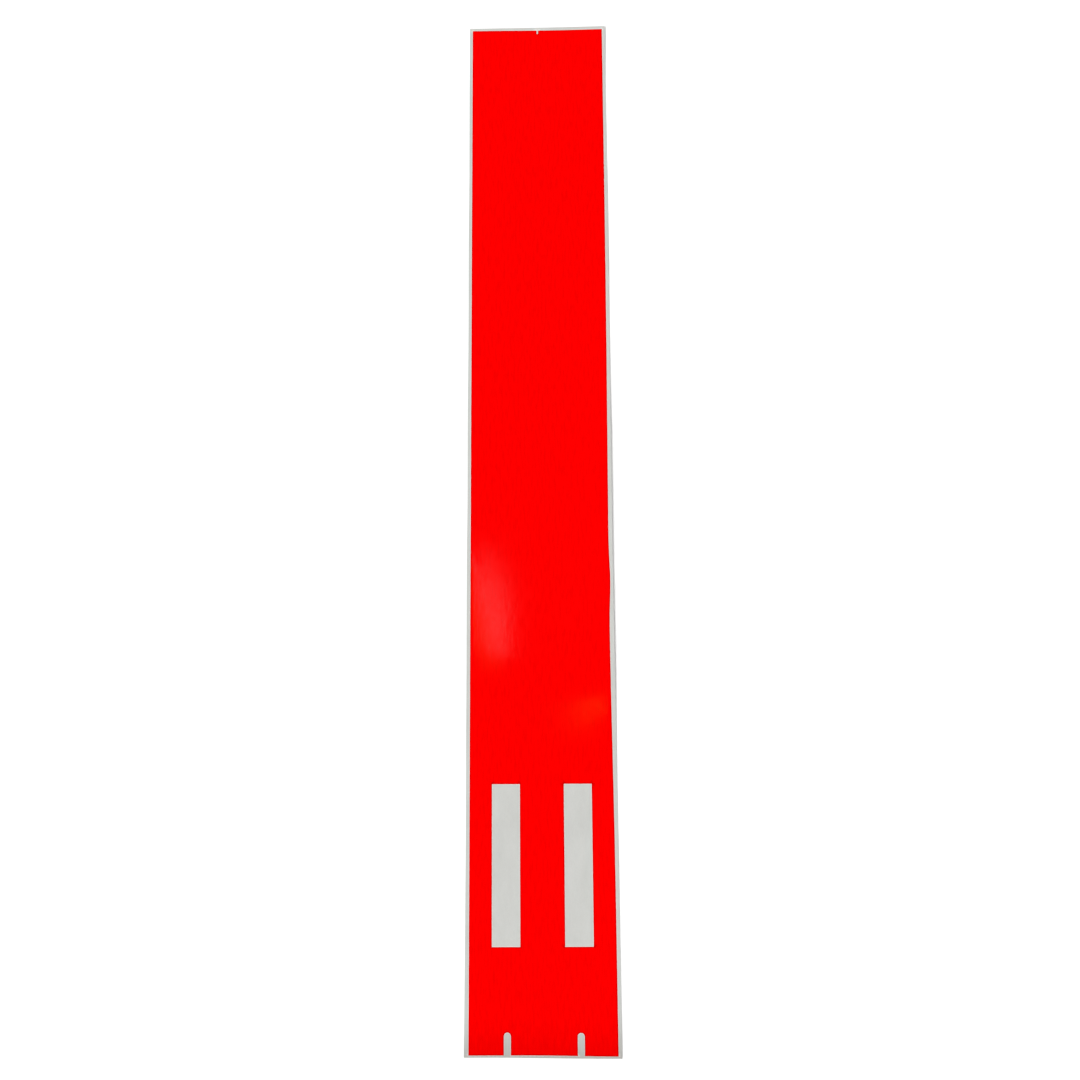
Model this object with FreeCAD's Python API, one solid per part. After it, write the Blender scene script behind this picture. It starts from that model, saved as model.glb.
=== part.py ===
import FreeCAD, Part
import os

# A self-adhesive skin strip: a long red film with a layer of adhesive under it, kiss-cut on a
# release liner that stays whole. The strip lies flat, liner down.
# Frame: X across the strip, +Y from the slotted end to the notched end, +Z up.
# The origin is in the middle of the liner's underside. Millimetres.

# Liner: a paper core with a smooth release coat on its upper face
LINER_WIDTH = 150.0
LINER_LENGTH = 1072.0
PAPER_THICKNESS = 0.14
RELEASE_COAT_THICKNESS = 0.02

# Film and adhesive: one outline, set back from the liner's edges
SIDE_MARGIN = 4.0
NOTCHED_END_MARGIN = 4.0
SLOTTED_END_MARGIN = 3.0
ADHESIVE_THICKNESS = 0.03
FILM_THICKNESS = 0.10

# Two windows through the film and adhesive, measured from the film's slotted end
WINDOW_WIDTH = 27.3
WINDOW_LENGTH = 153.3
WINDOW_SPACING = 70.5
WINDOW_FROM_SLOTTED_END = 98.3

# Two slots with round ends, open at the film's slotted end
SLOT_WIDTH = 6.6
SLOT_DEPTH = 20.5
SLOT_SPACING = 70.0

# One centring notch with a round end, open at the film's other end
NOTCH_WIDTH = 1.5
NOTCH_DEPTH = 4.2

# The film's notched end peels back about a straight fold, this far from the film's end
PEEL_LENGTH = 240.0

# Worked out from the dimensions above
LINER_Y0 = -LINER_LENGTH / 2
LINER_Y1 = LINER_LENGTH / 2
FILM_WIDTH = LINER_WIDTH - 2 * SIDE_MARGIN
FILM_Y0 = LINER_Y0 + SLOTTED_END_MARGIN
FILM_Y1 = LINER_Y1 - NOTCHED_END_MARGIN
FOLD_Y = FILM_Y1 - PEEL_LENGTH
RELEASE_COAT_Z = PAPER_THICKNESS
ADHESIVE_Z = RELEASE_COAT_Z + RELEASE_COAT_THICKNESS
FILM_Z = ADHESIVE_Z + ADHESIVE_THICKNESS

# A cutter reaches this far past the faces and edges that it opens
CUTTER_OVERRUN = 1.0


def slab(x_middle, width, y0, y1, z0, thickness):
    """A flat rectangular block, centred on x_middle."""
    corner = FreeCAD.Vector(x_middle - width / 2, y0, z0)
    return Part.makeBox(width, y1 - y0, thickness, corner)


def layer_cutter(x_middle, width, y0, y1, z0, thickness):
    """A block that cuts right through a layer that starts at z0."""
    return slab(x_middle, width, y0, y1, z0 - CUTTER_OVERRUN, thickness + 2 * CUTTER_OVERRUN)


def round_cutter(x_middle, width, y_middle, z0, thickness):
    """An upright cylinder, as wide as a slot, that makes the slot's round end."""
    foot = FreeCAD.Vector(x_middle, y_middle, z0 - CUTTER_OVERRUN)
    height = thickness + 2 * CUTTER_OVERRUN
    return Part.makeCylinder(width / 2, height, foot, FreeCAD.Vector(0, 0, 1))


def slot_cutter(x_middle, width, y_open, y_tip, z0, thickness):
    """A slot from an open edge at y_open to a round end whose tip is at y_tip."""
    inwards = 1.0 if y_tip > y_open else -1.0
    y_outside = y_open - inwards * CUTTER_OVERRUN
    y_centre = y_tip - inwards * width / 2
    low = min(y_outside, y_centre)
    high = max(y_outside, y_centre)
    straight = layer_cutter(x_middle, width, low, high, z0, thickness)
    return straight.fuse(round_cutter(x_middle, width, y_centre, z0, thickness))


def main_layer(z0, thickness):
    """The film or adhesive from the slotted end to the fold, with its windows and slots."""
    layer = slab(0.0, FILM_WIDTH, FILM_Y0, FOLD_Y, z0, thickness)
    window_y0 = FILM_Y0 + WINDOW_FROM_SLOTTED_END
    window_y1 = window_y0 + WINDOW_LENGTH
    for side in (-1, 1):
        window_x = side * WINDOW_SPACING / 2
        window = layer_cutter(window_x, WINDOW_WIDTH, window_y0, window_y1, z0, thickness)
        layer = layer.cut(window)
        slot_x = side * SLOT_SPACING / 2
        slot_tip = FILM_Y0 + SLOT_DEPTH
        slot = slot_cutter(slot_x, SLOT_WIDTH, FILM_Y0, slot_tip, z0, thickness)
        layer = layer.cut(slot)
    return layer


def peel_end_layer(z0, thickness):
    """The film or adhesive from the fold to the notched end, with its centring notch."""
    layer = slab(0.0, FILM_WIDTH, FOLD_Y, FILM_Y1, z0, thickness)
    notch_tip = FILM_Y1 - NOTCH_DEPTH
    notch = slot_cutter(0.0, NOTCH_WIDTH, FILM_Y1, notch_tip, z0, thickness)
    return layer.cut(notch)


def liner_layer(z0, thickness):
    """One layer of the liner, which nothing is cut through."""
    return slab(0.0, LINER_WIDTH, LINER_Y0, LINER_Y1, z0, thickness)


def build_parts():
    """Every sub-part by its node name."""
    return {
        "liner_paper": liner_layer(0.0, PAPER_THICKNESS),
        "release_coat": liner_layer(RELEASE_COAT_Z, RELEASE_COAT_THICKNESS),
        "adhesive": main_layer(ADHESIVE_Z, ADHESIVE_THICKNESS),
        "red_film": main_layer(FILM_Z, FILM_THICKNESS),
        "adhesive_peel_end": peel_end_layer(ADHESIVE_Z, ADHESIVE_THICKNESS),
        "red_film_peel_end": peel_end_layer(FILM_Z, FILM_THICKNESS),
    }


def only_solid(shape):
    """The shape's one closed solid."""
    if len(shape.Solids) != 1:
        raise ValueError("a sub-part should be one solid, not %d" % len(shape.Solids))
    return shape.Solids[0]


os.makedirs("parts", exist_ok=True)
for node, shape in build_parts().items():
    solid = only_solid(shape)
    solid.exportStep("parts/%s.step" % node)
    print("%-20s %10.1f mm3  valid %s" % (node, solid.Volume, solid.isValid()))
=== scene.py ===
import math
import random

import bpy
import numpy as np
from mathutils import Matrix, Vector
from mathutils.geometry import delaunay_2d_cdt


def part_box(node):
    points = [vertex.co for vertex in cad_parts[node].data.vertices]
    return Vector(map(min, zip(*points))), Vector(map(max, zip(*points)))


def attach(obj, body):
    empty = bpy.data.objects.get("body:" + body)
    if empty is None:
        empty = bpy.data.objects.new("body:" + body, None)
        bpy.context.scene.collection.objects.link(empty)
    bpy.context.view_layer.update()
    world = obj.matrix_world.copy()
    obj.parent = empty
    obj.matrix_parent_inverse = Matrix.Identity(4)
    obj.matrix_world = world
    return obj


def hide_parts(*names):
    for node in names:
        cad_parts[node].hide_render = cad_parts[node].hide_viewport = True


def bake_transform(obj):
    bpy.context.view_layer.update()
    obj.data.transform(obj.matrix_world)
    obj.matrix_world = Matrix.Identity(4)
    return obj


# A kiss-cut red film skin on its release liner, lying on a pale floor. Metres, in the frame of the
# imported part: X across the strip, +Y towards the notched end, +Z up.

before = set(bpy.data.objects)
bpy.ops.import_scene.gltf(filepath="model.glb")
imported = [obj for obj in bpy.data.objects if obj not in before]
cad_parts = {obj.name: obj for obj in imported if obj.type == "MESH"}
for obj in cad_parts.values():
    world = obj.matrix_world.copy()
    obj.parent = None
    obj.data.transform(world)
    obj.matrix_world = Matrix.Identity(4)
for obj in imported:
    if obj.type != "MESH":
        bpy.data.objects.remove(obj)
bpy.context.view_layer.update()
MM = 0.001

# ---------------------------------------------------------------- sizes and settings

# Outlines of the layers, from the frame
liner_low, liner_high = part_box("release_coat")
film_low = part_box("red_film")[0]
film_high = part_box("red_film_peel_end")[1]
fold_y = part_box("red_film_peel_end")[0].y
LAYER_NODES = {
    "liner_paper": ["liner_paper"],
    "release_coat": ["release_coat"],
    "adhesive": ["adhesive", "adhesive_peel_end"],
    "red_film": ["red_film", "red_film_peel_end"],
}

# What is cut out of the film and its adhesive, as in the CAD part
WINDOW_WIDTH = 27.3 * MM
WINDOW_LENGTH = 153.3 * MM
WINDOW_SPACING = 70.5 * MM
WINDOW_FROM_END = 98.3 * MM
SLOT_WIDTH = 6.6 * MM
SLOT_DEPTH = 20.5 * MM
SLOT_SPACING = 70.0 * MM
NOTCH_WIDTH = 1.5 * MM
NOTCH_DEPTH = 4.2 * MM

# How far past the fold the film's roll reaches when its end is peeled
ROLL_LENGTH = 30.0 * MM

# Mesh spacings
EDGE_STEP = 4.0 * MM
GRID_STEP = 4.0 * MM
ROLL_STEP = 1.2 * MM
ARC_POINTS = 14

# Points closer than this are one point
SAME_POINT = 1e-7

# Edges that turn by more than this are sharp
SHARP_ANGLE = math.radians(40.0)

# Where along Y the film's mesh is finer, for its roll
ROLL_ZONE = (fold_y - GRID_STEP, fold_y + ROLL_LENGTH + GRID_STEP)

# The cutter leaves a pressed rim along the film's edge, and a scored line in the release coat beside it
RIM_WIDTH = 1.5 * MM
FILM_PRESS = 0.03 * MM
SCORE_WIDTH = 0.6 * MM
SCORE_DEPTH = 0.01 * MM

# How far the liner's edges, corner and slotted end lift off the floor, and a dent's height
RIGHT_CURL = 1.8 * MM
LEFT_CURL = 0.3 * MM
CORNER_LIFT = 1.3 * MM
SLOTTED_END_LIFT = 0.4 * MM
DENT_HEIGHT = 0.10 * MM

# How far the cutter strayed: the right edge's bow and the bulge in it, the slots, and the two ends
EDGE_BOW = 1.9 * MM
EDGE_BULGE = 1.3 * MM
SLOT_SHIFT = 0.9 * MM
SLOTTED_END_SKEW = 1.1 * MM
NOTCHED_END_SKEW = 0.6 * MM

# How much the liner was trimmed at its ends, and the bands that the trimming draws in
SLOTTED_END_TRIM = 1.2 * MM
NOTCHED_END_TRIM = 0.5 * MM
TRIM_SIDE_BAND = 3.0 * MM
TRIM_END_BAND = 1.8 * MM

# How bright the studio is to the left, to the right, overhead, along the horizon and as a backdrop
LEFT_LIGHT = 3.84
RIGHT_LIGHT = 1.75
OVERHEAD_LIGHT = 0.004
HORIZON_LIGHT = 0.45
BACKDROP = 1.2

# The colours of the light cards
WHITE = (1.0, 1.0, 1.0)
AMBER = (0.6, 0.25, 0.02)

# The camera's place, its turns about X, Y and Z in degrees, and its lens in millimetres
CAMERA_PLACE = (0.0234, -0.2694, 1.2502)
CAMERA_TURNS = (10.49, 1.15, -0.34)
CAMERA_LENS = 41.67

# The floor's width, and how far it is under the strip
FLOOR_WIDTH = 80.0
FLOOR_GAP = 0.05 * MM

# The low and high ends that a noise's values mostly keep between
NOISE_RANGE = (0.3, 0.7)

# ---------------------------------------------------------------- how the strip lies


def smooth(value, start, end):
    """0 up to start, 1 from end, and smooth in between."""
    t = np.clip((value - start) / (end - start), 0.0, 1.0)
    return t * t * (3.0 - 2.0 * t)


def bell(value, middle, below, above):
    """1 at middle, falling smoothly to 0 over about two spreads on either side."""
    spread = np.where(value < middle, below, above)
    return np.exp(-(((value - middle) / spread) ** 2))


def beyond(value, edge, band):
    """0 until value is within band of the edge, rising evenly to 1 at the edge."""
    return np.clip((value - edge) / band + 1.0, 0.0, 1.0)


def cockle_waves(count, seed, shortest, longest, height):
    """Random long waves, each as wave numbers along X and Y, a phase and a height."""
    dice = random.Random(seed)
    waves = []
    for _ in range(count):
        length = dice.uniform(shortest, longest)
        slant = dice.uniform(-0.45, 0.45)
        k = 2.0 * math.pi / length
        share = height * length / longest
        waves.append((k * math.sin(slant), k * math.cos(slant), dice.uniform(0.0, 6.3), share))
    return waves


LONG_WAVES = cockle_waves(
    count=5, seed=11, shortest=170.0 * MM, longest=380.0 * MM, height=0.16 * MM
)
SHORT_WAVES = cockle_waves(
    count=9, seed=4, shortest=34.0 * MM, longest=90.0 * MM, height=0.012 * MM
)


def raw_height(x, y):
    """The strip's underside, before it is set down so that its lowest point is on the floor."""
    across = x / liner_high.x
    right_curl = np.clip((across - 0.1) / 0.9, 0.0, None) ** 1.6
    left_curl = np.clip((-across - 0.35) / 0.65, 0.0, None) ** 2
    height = RIGHT_CURL * right_curl * bell(y, middle=-30.0 * MM, below=200.0 * MM, above=210.0 * MM)
    height += LEFT_CURL * left_curl * bell(y, middle=-40.0 * MM, below=90.0 * MM, above=120.0 * MM)
    corner = np.clip((across + 0.2) / 1.2, 0.0, None) ** 2
    height += CORNER_LIFT * corner * smooth(y, 465.0 * MM, 545.0 * MM)
    height += SLOTTED_END_LIFT * across**2 * smooth(-y, 490.0 * MM, 540.0 * MM)
    dent = bell(x, middle=-69.0 * MM, below=7.0 * MM, above=7.0 * MM)
    dent *= bell(y, middle=-57.0 * MM, below=11.0 * MM, above=11.0 * MM)
    height += DENT_HEIGHT * dent
    for kx, ky, phase, share in LONG_WAVES + SHORT_WAVES:
        height += share * np.cos(kx * x + ky * y + phase)
    return height


def lowest_height():
    """The lowest point of raw_height over the liner."""
    xs = np.linspace(liner_low.x, liner_high.x, 61)
    ys = np.linspace(liner_low.y, liner_high.y, 401)
    return float(raw_height(*np.meshgrid(xs, ys)).min())


FLOOR_OFFSET = lowest_height()


def height_of(x, y):
    """How high the strip's underside is over the floor."""
    return np.maximum(raw_height(x, y) - FLOOR_OFFSET, 0.0)


def film_warp(x, y):
    """Where the cutter really cut the film: its right edge bows inwards along its middle, with a small
    bulge in the bow, its ends are a little askew, and its slots are a little to the right."""
    across = x / film_high.x
    bow = EDGE_BOW * bell(y, middle=-115.0 * MM, below=170.0 * MM, above=250.0 * MM)
    bulge = EDGE_BULGE * bell(y, middle=-80.0 * MM, below=26.0 * MM, above=26.0 * MM)
    slot_shift = SLOT_SHIFT * smooth(-y, 480.0 * MM, 512.0 * MM)
    slot_shift *= 1.0 - smooth(np.abs(across), 0.7, 0.95)
    near_skew = SLOTTED_END_SKEW * smooth(across, -0.3, 1.0) * smooth(-y, 480.0 * MM, 533.0 * MM)
    far_skew = NOTCHED_END_SKEW * smooth(-across, -0.2, 0.9) * smooth(y, 480.0 * MM, 532.0 * MM)
    return x - (bow - bulge) * smooth(across, 0.78, 1.0) + slot_shift, y - near_skew + far_skew


def liner_warp(x, y):
    """The liner was trimmed by hand: outside the film its edges wander a little. left, right, near and
    far are how much was trimmed off each side and end."""
    left = 0.5 * MM + 0.5 * MM * smooth(y, -200.0 * MM, 480.0 * MM) + 0.1 * MM * np.sin(y * 37.0 + 1.0)
    left -= 0.7 * MM * smooth(-y, 400.0 * MM, 530.0 * MM)
    right = 0.75 * MM + 0.9 * MM * bell(y, middle=-20.0 * MM, below=250.0 * MM, above=250.0 * MM)
    right -= 0.1 * MM * np.sin(y * 23.0)
    near = SLOTTED_END_TRIM * (1.0 - smooth(x, -60.0 * MM, 60.0 * MM))
    far = NOTCHED_END_TRIM
    x_in = left * beyond(-x, liner_high.x, TRIM_SIDE_BAND) - right * beyond(x, liner_high.x, TRIM_SIDE_BAND)
    y_in = near * beyond(-y, liner_high.y, TRIM_END_BAND) - far * beyond(y, liner_high.y, TRIM_END_BAND)
    return x + x_in, y + y_in


# ---------------------------------------------------------------- flat outlines


def run(start, end, step=EDGE_STEP):
    """Points from start up to, but without, end."""
    a, b = Vector(start), Vector(end)
    count = max(1, round((b - a).length / step))
    return [tuple(a.lerp(b, i / count)) for i in range(count)]


def slots():
    """Every open-ended cut: x of its middle, width, y of its open end, y of its tip."""
    found = []
    for side in (-1, 1):
        tip = film_low.y + SLOT_DEPTH
        found.append((side * SLOT_SPACING / 2, SLOT_WIDTH, film_low.y, tip))
    found.append((0.0, NOTCH_WIDTH, film_high.y, film_high.y - NOTCH_DEPTH))
    return found


def windows():
    """Every window as its low x, high x, low y and high y."""
    low = film_low.y + WINDOW_FROM_END
    middles = [side * WINDOW_SPACING / 2 for side in (-1, 1)]
    half = WINDOW_WIDTH / 2
    return [(x - half, x + half, low, low + WINDOW_LENGTH) for x in middles]


def slot_outline(x, width, y_open, y_tip):
    """A slot's edge from one open corner to the other, met while going anticlockwise round the film."""
    radius = width / 2
    upwards = y_tip > y_open
    y_round = y_tip - radius if upwards else y_tip + radius
    first, last = (x - radius, x + radius) if upwards else (x + radius, x - radius)
    points = run((first, y_open), (first, y_round), radius)
    points.append((first, y_round))
    start = math.pi if upwards else 0.0
    for i in range(1, ARC_POINTS):
        angle = start - math.pi * i / ARC_POINTS
        points.append((x + radius * math.cos(angle), y_round + radius * math.sin(angle)))
    points += run((last, y_round), (last, y_open), radius)
    points.append((last, y_open))
    return points


def rectangle(x0, x1, y0, y1):
    """A rectangle's edge, anticlockwise."""
    corners = [(x0, y0), (x1, y0), (x1, y1), (x0, y1)]
    points = []
    for a, b in zip(corners, corners[1:] + corners[:1]):
        points += run(a, b)
    return points


def long_side(x):
    """One long side of the film from its slotted end, with closer points where the film rolls."""
    stops = (film_low.y, *ROLL_ZONE, film_high.y)
    points = []
    for low, high, step in zip(stops, stops[1:], (EDGE_STEP, ROLL_STEP, EDGE_STEP)):
        points += run((x, low), (x, high), step)
    return points + [(x, film_high.y)]


def film_outline():
    """The film's outer edge, anticlockwise, with its slots and notch."""
    near = [s for s in slots() if s[2] == film_low.y]
    far = [s for s in slots() if s[2] == film_high.y]
    points, at = [], (film_low.x, film_low.y)
    for x, width, y_open, y_tip in near:
        points += run(at, (x - width / 2, y_open))
        points += slot_outline(x, width, y_open, y_tip)[:-1]
        at = (x + width / 2, y_open)
    points += run(at, (film_high.x, film_low.y))
    points += long_side(film_high.x)[:-1]
    at = (film_high.x, film_high.y)
    for x, width, y_open, y_tip in far:
        points += run(at, (x + width / 2, y_open))
        points += slot_outline(x, width, y_open, y_tip)[:-1]
        at = (x - width / 2, y_open)
    points += run(at, (film_low.x, film_high.y))
    points += long_side(film_low.x)[:0:-1]
    return points


def depth_in_rectangle(x, y, box):
    """How far inside a rectangle points are, or how far outside it as a negative number."""
    x0, x1, y0, y1 = box
    return np.minimum(np.minimum(x - x0, x1 - x), np.minimum(y - y0, y1 - y))


def gap_to_slot(x, y, slot):
    """How far points are from an open-ended cut with a round end."""
    x_middle, width, y_open, y_tip = slot
    inwards = 1.0 if y_tip > y_open else -1.0
    y_round = y_tip - inwards * width / 2
    past_round = np.maximum((y - y_round) * inwards, 0.0)
    return np.hypot(x - x_middle, past_round) - width / 2


def depth_in_film(x, y):
    """How far points are from the nearest edge of the film, and negative outside it."""
    depth = depth_in_rectangle(x, y, (film_low.x, film_high.x, film_low.y, film_high.y))
    for window in windows():
        depth = np.minimum(depth, -depth_in_rectangle(x, y, window))
    for slot in slots():
        near_its_end = np.abs(y - slot[2]) < SLOT_DEPTH + GRID_STEP
        depth = np.where(near_its_end, np.minimum(depth, gap_to_slot(x, y, slot)), depth)
    return depth


def depth_outside_film(x, y):
    """How far points are outside the film, and negative in it."""
    return -depth_in_film(x, y)


def depth_in_liner(x, y):
    """How far points are from the nearest edge of the liner."""
    return depth_in_rectangle(x, y, (liner_low.x, liner_high.x, liner_low.y, liner_high.y))


# ---------------------------------------------------------------- meshes


def grid_lines(low, high, fine_low=0.0, fine_high=0.0):
    """Coordinates from low to high, closer together between fine_low and fine_high."""
    lines, at = [], low + GRID_STEP
    while at < high - GRID_STEP / 2:
        lines.append(at)
        at += ROLL_STEP if fine_low <= at < fine_high else GRID_STEP
    return lines


def ring_beside(loop, depth_of, distance):
    """The loop's points, each moved that far towards where depth_of is greater."""
    points = np.array(loop)
    after = np.roll(points, -1, axis=0) - points
    before = points - np.roll(points, 1, axis=0)
    after /= np.linalg.norm(after, axis=1)[:, None]
    before /= np.linalg.norm(before, axis=1)[:, None]
    leftwards = np.column_stack([-(after + before)[:, 1], (after + before)[:, 0]])
    leftwards /= np.sum(leftwards**2, axis=1)[:, None] / 2
    one, other = points + leftwards * distance, points - leftwards * distance
    return (one if depth_of(*one.T).mean() > depth_of(*other.T).mean() else other).tolist()


def cross_2d(a, b):
    """The cross product of each pair of flat vectors."""
    return a[:, 0] * b[:, 1] - a[:, 1] * b[:, 0]


def closed_edges(loops, scores):
    """The points and edges of every loop and scored line, and for each point 1 where the cutter ran."""
    points, edges, cut = [], [], []
    for loop in loops + list(scores):
        first = len(points)
        points += loop
        edges += [(first + i, first + (i + 1) % len(loop)) for i in range(len(loop))]
        cut += [1.0 if loop in scores or not scores else 0.0] * len(loop)
    return points, edges, cut


def inner_grid(outline, depth_of, y_fine, scores):
    """Grid points inside the outline that are clear of its rim, its holes and any scored lines."""
    xs, ys = zip(*outline)
    grid_x, grid_y = np.meshgrid(grid_lines(min(xs), max(xs)), grid_lines(min(ys), max(ys), *y_fine))
    clear = depth_of(grid_x, grid_y) > 2.0 * RIM_WIDTH
    if scores:
        clear &= np.abs(depth_in_film(grid_x, grid_y)) > GRID_STEP
    return list(zip(grid_x[clear].tolist(), grid_y[clear].tolist()))


def triangulate(loops, depth_of, y_fine=(0.0, 0.0), scores=()):
    """A flat triangle mesh of the region inside the loops: its points, its triangles, and for each point
    1 where the cutter ran, on the scored lines if there are any and on the loops if there are none."""
    points, edges, cut = closed_edges(loops, scores)
    for loop in loops:
        points += ring_beside(loop, depth_of, RIM_WIDTH)
    for loop in scores:
        points += ring_beside(loop, depth_in_film, SCORE_WIDTH)
        points += ring_beside(loop, depth_outside_film, SCORE_WIDTH)
    points += inner_grid(loops[0], depth_of, y_fine, scores)
    cut += [0.0] * (len(points) - len(cut))
    made = delaunay_2d_cdt([Vector(p) for p in points], edges, [], 0, SAME_POINT)
    flat = np.array([tuple(v) for v in made[0]])
    triangles = np.array([f for f in made[2] if len(f) == 3])
    middle = flat[triangles].mean(axis=1)
    triangles = triangles[depth_of(middle[:, 0], middle[:, 1]) > 0.0]
    a, b, c = (flat[triangles[:, i]] for i in range(3))
    clockwise = cross_2d(b - a, c - a) < 0
    triangles[clockwise] = triangles[clockwise][:, ::-1]
    return flat, triangles, np.array([max(cut[i] for i in sources) for sources in made[3]])


def rim_edges(triangles):
    """The edges that only one triangle has, each the way that triangle runs along it."""
    seen = {}
    for a, b, c in triangles.tolist():
        for edge in ((a, b), (b, c), (c, a)):
            seen[edge] = True
    return [e for e in seen if (e[1], e[0]) not in seen]


def store_flat_places(mesh, flat):
    """Gives each corner its place on the flat sheet, on both faces, for the materials."""
    layer = mesh.uv_layers.new(name="flat")
    corners = np.zeros(len(mesh.loops), np.int32)
    mesh.loops.foreach_get("vertex_index", corners)
    layer.data.foreach_set("uv", flat[corners % len(flat)].astype(np.float32).ravel())


def store_cut_line(mesh, cut):
    """Gives each point 1 where the cutter ran and 0 elsewhere, on both faces, for the materials."""
    edge = mesh.attributes.new("cut", "FLOAT", "POINT")
    edge.data.foreach_set("value", np.concatenate([cut, cut]).astype(np.float32))


def slab(name, sheet, warp, z0, thickness, pressed):
    """A closed sheet of that thickness, lying as the strip lies, pressed down a little where it was cut."""
    flat, triangles, cut = sheet
    x, y = warp(*flat.T)
    under = height_of(x, y) + z0
    count = len(flat)
    top = np.column_stack([x, y, under + thickness - pressed * cut])
    bottom = np.column_stack([x, y, under])
    faces = triangles.tolist()
    faces += (triangles[:, ::-1] + count).tolist()
    faces += [(b, a, a + count, b + count) for a, b in rim_edges(triangles)]
    mesh = bpy.data.meshes.new(name)
    mesh.from_pydata(np.vstack([top, bottom]).tolist(), [], faces)
    if len(np.unique(triangles)) != count:
        raise ValueError(name + " has points that no face uses")
    mesh.polygons.foreach_set("use_smooth", [True] * len(mesh.polygons))
    mesh.set_sharp_from_angle(angle=SHARP_ANGLE)
    store_flat_places(mesh, flat)
    store_cut_line(mesh, cut)
    mesh.update()
    piece = bpy.data.objects.new(name, mesh)
    bpy.context.scene.collection.objects.link(piece)
    return piece


def flat_area(flat, triangles):
    """The area of a flat triangle mesh."""
    a, b, c = (flat[triangles[:, i]] for i in range(3))
    return float(np.abs(cross_2d(b - a, c - a)).sum() / 2)


def layer_heights(name):
    """A layer's underside and thickness, from its CAD node."""
    low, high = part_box(LAYER_NODES[name][0])
    return low.z, high.z - low.z


# ---------------------------------------------------------------- materials


def new_material(name):
    """A node material, its node tree and its main shader."""
    material = bpy.data.materials.new(name)
    material.use_nodes = True
    shader = material.node_tree.nodes["Principled BSDF"]
    return material, material.node_tree, shader


def flat_coordinates(tree, scale):
    """Places on the flat sheet, in metres, times scale along X and Y."""
    source = tree.nodes.new("ShaderNodeUVMap")
    source.uv_map = "flat"
    mapping = tree.nodes.new("ShaderNodeMapping")
    mapping.inputs["Scale"].default_value = (scale[0], scale[1], 1.0)
    tree.links.new(source.outputs["UV"], mapping.inputs["Vector"])
    return mapping.outputs["Vector"]


def noise(tree, scale, detail, roughness=0.5, distortion=0.0):
    """Noise over the flat sheet, with scale features per metre along X and Y."""
    node = tree.nodes.new("ShaderNodeTexNoise")
    node.inputs["Scale"].default_value = 1.0
    node.inputs["Detail"].default_value = detail
    node.inputs["Roughness"].default_value = roughness
    node.inputs["Distortion"].default_value = distortion
    tree.links.new(flat_coordinates(tree, scale), node.inputs["Vector"])
    return node.outputs["Fac"]


def spread(tree, value, low, high, to_low, to_high, curve="LINEAR"):
    """value, from low to high, turned into to_low to to_high."""
    node = tree.nodes.new("ShaderNodeMapRange")
    node.interpolation_type = curve
    tree.links.new(value, node.inputs["Value"])
    for socket, number in zip(("From Min", "From Max", "To Min", "To Max"), (low, high, to_low, to_high)):
        node.inputs[socket].default_value = number
    return node.outputs["Result"]


def fade(tree, value, low, high, to_low, to_high):
    """As spread, but levelling off smoothly at both ends."""
    return spread(tree, value, low, high, to_low, to_high, "SMOOTHSTEP")


def mixed(tree, factor, a, b):
    """a where factor is 0 and b where it is 1. factor and b may each be a plain number."""
    node = tree.nodes.new("ShaderNodeMix")
    tree.links.new(a, node.inputs["A"])
    for socket, value in (("Factor", factor), ("B", b)):
        if isinstance(value, float):
            node.inputs[socket].default_value = value
        else:
            tree.links.new(value, node.inputs[socket])
    return node.outputs["Result"]


def maths(tree, operation, a, b):
    """The result of one sum on two values."""
    node = tree.nodes.new("ShaderNodeMath")
    node.operation = operation
    tree.links.new(a, node.inputs[0])
    tree.links.new(b, node.inputs[1])
    return node.outputs["Value"]


def shades(tree, value, dark, light):
    """A colour between dark and light, by the value of a noise."""
    node = tree.nodes.new("ShaderNodeValToRGB")
    for element, position, colour in zip(node.color_ramp.elements, NOISE_RANGE, (dark, light)):
        element.position = position
        element.color = (*colour, 1.0)
    tree.links.new(value, node.inputs["Fac"])
    return node.outputs["Color"]


def bump(tree, heights, shader):
    """Adds several (value, height in metres) reliefs to the shader's normal."""
    normal = None
    for value, distance in heights:
        node = tree.nodes.new("ShaderNodeBump")
        node.inputs["Strength"].default_value = 1.0
        node.inputs["Distance"].default_value = distance
        tree.links.new(value, node.inputs["Height"])
        if normal is not None:
            tree.links.new(normal, node.inputs["Normal"])
        normal = node.outputs["Normal"]
    tree.links.new(normal, shader.inputs["Normal"])


def cut_line(tree):
    """1 where the cutter ran, falling to 0 across the rim."""
    node = tree.nodes.new("ShaderNodeAttribute")
    node.attribute_name = "cut"
    return node.outputs["Fac"]


def painted_shade_at_slotted_end(tree):
    """0 over most of the sheet, rising to 1 just past its slotted end: where shade is painted into the
    colour.
    """
    parts = tree.nodes.new("ShaderNodeSeparateXYZ")
    tree.links.new(flat_coordinates(tree, (1.0, 1.0)), parts.inputs["Vector"])
    return fade(tree, parts.outputs["Y"], -495.0 * MM, -545.0 * MM, 0.0, 1.0)


def tinted(tree, colour, amount, factors):
    """The colour, multiplied by the factors where amount is 1."""
    node = tree.nodes.new("ShaderNodeMix")
    node.data_type = "RGBA"
    node.blend_type = "MULTIPLY"
    # Sockets by number, because a Mix node has several with the same name
    tree.links.new(amount, node.inputs[0])
    tree.links.new(colour, node.inputs[6])
    node.inputs[7].default_value = (*factors, 1.0)
    return node.outputs[2]


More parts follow.
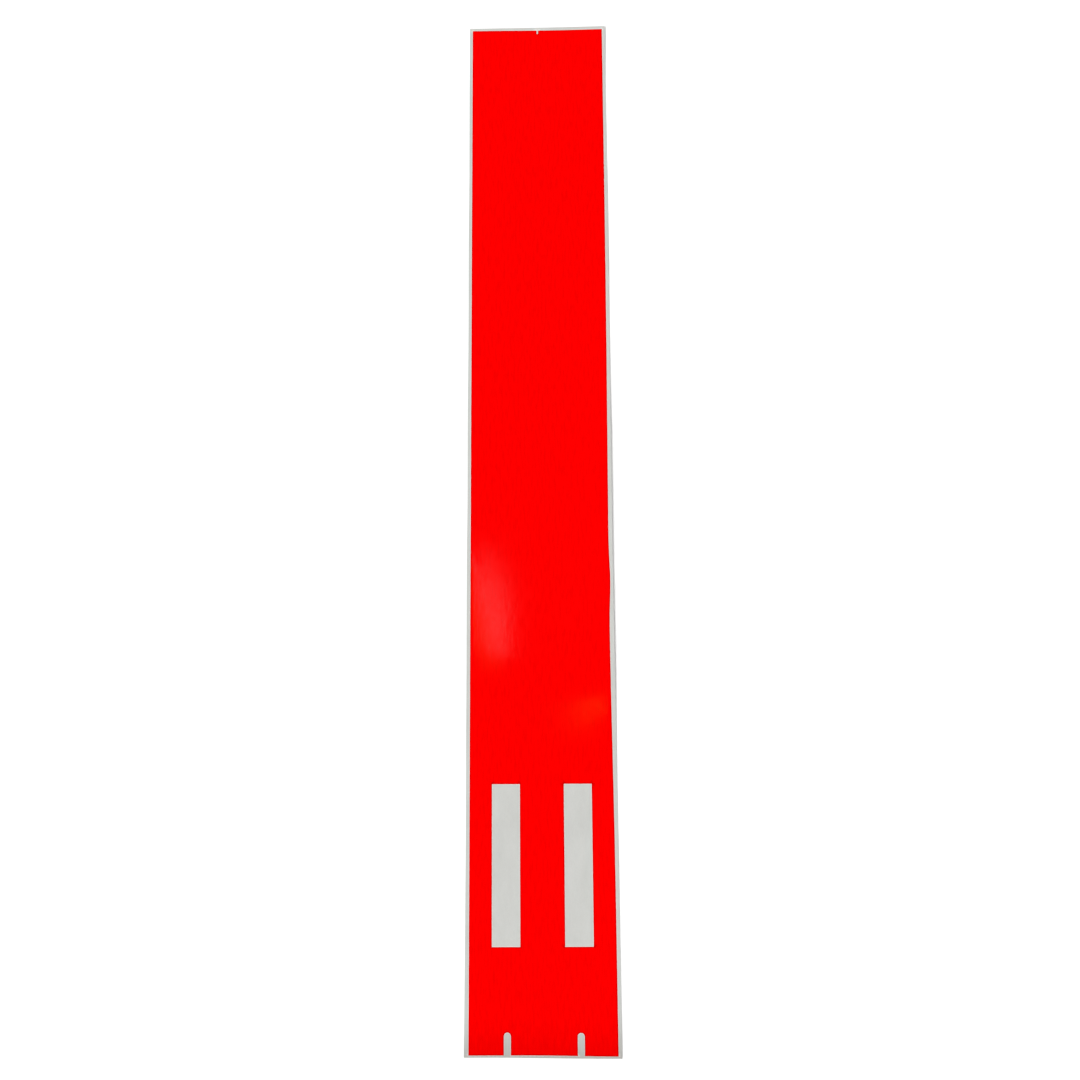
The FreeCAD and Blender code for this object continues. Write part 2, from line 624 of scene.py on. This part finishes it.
def film_material():
    """Glossy calendered red film: fine streaks along its length and a slight orange peel, with painted
    shade towards its slotted end.
    """
    material, tree, shader = new_material("red_film")
    shader.inputs["IOR"].default_value = 1.5
    streaks = noise(tree, (480.0, 70.0), detail=2.0, roughness=0.6)
    red = shades(tree, streaks, (0.855, 0.0, 0.0), (0.95, 0.0, 0.0))
    # Painted shade: the film's red is darker towards its slotted end
    red = tinted(tree, red, painted_shade_at_slotted_end(tree), (0.87, 0.87, 0.87))
    red = tinted(tree, red, cut_line(tree), (0.55, 0.55, 0.55))
    tree.links.new(red, shader.inputs["Base Color"])
    tree.links.new(spread(tree, streaks, *NOISE_RANGE, 0.05, 0.10), shader.inputs["Roughness"])
    peel = noise(tree, (420.0, 300.0), detail=2.0)
    bump(tree, [(streaks, 0.021 * MM), (peel, 0.003 * MM)], shader)
    return material


def release_material():
    """Smooth silvery-grey release coat over paper: faint fibres, clouding and a pale scored line, with
    painted shade towards its slotted end.
    """
    material, tree, shader = new_material("release_coat")
    shader.inputs["IOR"].default_value = 1.43
    fibres = noise(tree, (700.0, 260.0), detail=5.0, roughness=0.7, distortion=1.5)
    cloud = noise(tree, (60.0, 24.0), detail=4.0, roughness=0.6)
    grey = shades(tree, mixed(tree, 0.5, fibres, cloud), (0.500, 0.504, 0.480), (0.582, 0.585, 0.561))
    # Painted shade: the release coat is darker and a little warmer towards the slotted end
    grey = tinted(tree, grey, painted_shade_at_slotted_end(tree), (0.74, 0.71, 0.70))
    grey = tinted(tree, grey, cut_line(tree), (1.5, 1.5, 1.5))
    tree.links.new(grey, shader.inputs["Base Color"])
    tree.links.new(spread(tree, fibres, *NOISE_RANGE, 0.36, 0.48), shader.inputs["Roughness"])
    bump(tree, [(fibres, 0.006 * MM)], shader)
    return material


def paper_material():
    """Uncoated liner paper, seen at the cut edge and on the underside."""
    material, tree, shader = new_material("liner_paper")
    fibres = noise(tree, (900.0, 340.0), detail=6.0, roughness=0.75, distortion=2.0)
    cream = shades(tree, fibres, (0.56, 0.545, 0.49), (0.70, 0.685, 0.63))
    tree.links.new(cream, shader.inputs["Base Color"])
    tree.links.new(spread(tree, fibres, *NOISE_RANGE, 0.78, 0.92), shader.inputs["Roughness"])
    bump(tree, [(fibres, 0.02 * MM)], shader)
    return material


def adhesive_material():
    """Clear adhesive on the back of the red film: paler than its face, with a satin mottle."""
    material, tree, shader = new_material("adhesive")
    shader.inputs["IOR"].default_value = 1.47
    mottle = noise(tree, (170.0, 120.0), detail=4.0, roughness=0.6, distortion=0.6)
    pale_red = shades(tree, mottle, (0.55, 0.075, 0.065), (0.66, 0.125, 0.105))
    tree.links.new(pale_red, shader.inputs["Base Color"])
    tree.links.new(spread(tree, mottle, *NOISE_RANGE, 0.30, 0.46), shader.inputs["Roughness"])
    bump(tree, [(mottle, 0.012 * MM)], shader)
    return material


def floor_material():
    """Plain white, hardly glossy."""
    material, tree, shader = new_material("floor")
    shader.inputs["Base Color"].default_value = (0.97, 0.97, 0.97, 1.0)
    shader.inputs["Roughness"].default_value = 0.9
    shader.inputs["Specular IOR Level"].default_value = 0.1
    return material


# ---------------------------------------------------------------- the strip


def make_strip():
    """All four layers as pieces, by name, with the cut film's flat area."""
    film_loops = [film_outline()] + [rectangle(*w) for w in windows()]
    film = triangulate(film_loops, depth_in_film, ROLL_ZONE)
    liner_loops = [rectangle(liner_low.x, liner_high.x, liner_low.y, liner_high.y)]
    scores = [list(zip(*film_warp(*np.array(loop).T))) for loop in film_loops]
    liner = triangulate(liner_loops, depth_in_liner, scores=scores)
    layers = {
        "liner_paper": (liner, liner_warp, paper_material(), 0.0),
        "release_coat": (liner, liner_warp, release_material(), SCORE_DEPTH),
        "adhesive": (film, film_warp, adhesive_material(), 0.0),
        "red_film": (film, film_warp, film_material(), FILM_PRESS),
    }
    pieces = {}
    for name, (sheet, warp, material, pressed) in layers.items():
        piece = slab(name + "_sheet", sheet, warp, *layer_heights(name), pressed)
        piece.data.materials.append(material)
        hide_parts(*LAYER_NODES[name])
        pieces[name] = piece
    return pieces, flat_area(*film[:2])


def join_to_bodies(pieces):
    """Puts the liner's pieces on the liner's body, and bakes the film's and the adhesive's places into
    their meshes.
    """
    for name in ("liner_paper", "release_coat"):
        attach(pieces[name], "liner")
    for name in ("adhesive", "red_film"):
        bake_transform(pieces[name])


# ---------------------------------------------------------------- floor, lights and camera


def make_floor():
    """A plain pale floor, just under the strip."""
    mesh = bpy.data.meshes.new("floor")
    half = FLOOR_WIDTH / 2
    corners = [(-half, -half, 0.0), (half, -half, 0.0), (half, half, 0.0), (-half, half, 0.0)]
    mesh.from_pydata(corners, [], [(0, 1, 2, 3)])
    mesh.materials.append(floor_material())
    floor = bpy.data.objects.new("floor", mesh)
    floor.location.z = -FLOOR_GAP
    bpy.context.scene.collection.objects.link(floor)


def gloss_card(name, place, size, turn, colour, power):
    """A dim oval light facing straight down, seen as a highlight in the film. size is across and along."""
    data = bpy.data.lights.new(name, "AREA")
    data.shape = "ELLIPSE"
    data.size, data.size_y = size
    data.color = colour
    data.energy = power
    card = bpy.data.objects.new(name, data)
    card.location = place
    card.rotation_euler.z = math.radians(turn)
    bpy.context.scene.collection.objects.link(card)


def make_studio():
    """Broad soft light from both sides, stronger on the left and dark overhead, before a plain backdrop."""
    world = bpy.data.worlds.new("studio")
    bpy.context.scene.world = world
    world.use_nodes = True
    tree = world.node_tree
    where = tree.nodes.new("ShaderNodeTexCoord")
    parts = tree.nodes.new("ShaderNodeSeparateXYZ")
    tree.links.new(where.outputs["Generated"], parts.inputs["Vector"])
    across, up = parts.outputs["X"], parts.outputs["Z"]
    left = fade(tree, across, -0.22, -0.42, OVERHEAD_LIGHT, LEFT_LIGHT)
    right = fade(tree, across, 0.22, 0.42, 0.0, RIGHT_LIGHT)
    sides = maths(tree, "MULTIPLY", maths(tree, "ADD", left, right), fade(tree, up, 0.40, 0.66, 0.10, 1.0))
    light = maths(tree, "ADD", sides, fade(tree, up, 0.12, 0.32, HORIZON_LIGHT, 0.0))
    seen_directly = tree.nodes.new("ShaderNodeLightPath").outputs["Is Camera Ray"]
    background = tree.nodes["Background"]
    background.inputs["Color"].default_value = (1.0, 1.0, 1.0, 1.0)
    tree.links.new(mixed(tree, seen_directly, light, BACKDROP), background.inputs["Strength"])


def make_lights():
    """The studio's light, and dim cards overhead that only show as highlights in the film. The one on
    the left is brightest in its middle, fainter at its far end and warmer along its left edge."""
    make_studio()
    gloss_card("gloss_left", (-0.148, 0.128, 2.0), (0.022, 0.25), 1.0, WHITE, 0.0250)
    gloss_card("gloss_left_end", (-0.166, 0.272, 1.99), (0.030, 0.15), 0.0, WHITE, 0.0070)
    gloss_card("gloss_left_warm", (-0.190, 0.142, 1.98), (0.030, 0.37), 8.0, AMBER, 0.034)
    gloss_card("gloss_right", (0.034, -0.156, 2.0), (0.032, 0.062), 31.0, AMBER, 0.0102)


def make_camera():
    """Above the strip, a little towards its slotted end, looking down and slightly along it."""
    data = bpy.data.cameras.new("camera")
    data.sensor_width = 36.0
    data.lens = CAMERA_LENS
    camera = bpy.data.objects.new("camera", data)
    camera.location = CAMERA_PLACE
    camera.rotation_euler = tuple(math.radians(turn) for turn in CAMERA_TURNS)
    bpy.context.scene.collection.objects.link(camera)
    bpy.context.scene.camera = camera
    bpy.context.scene.view_settings.view_transform = "Standard"


make_camera()
make_lights()
make_floor()
strip, cut_area = make_strip()
join_to_bodies(strip)
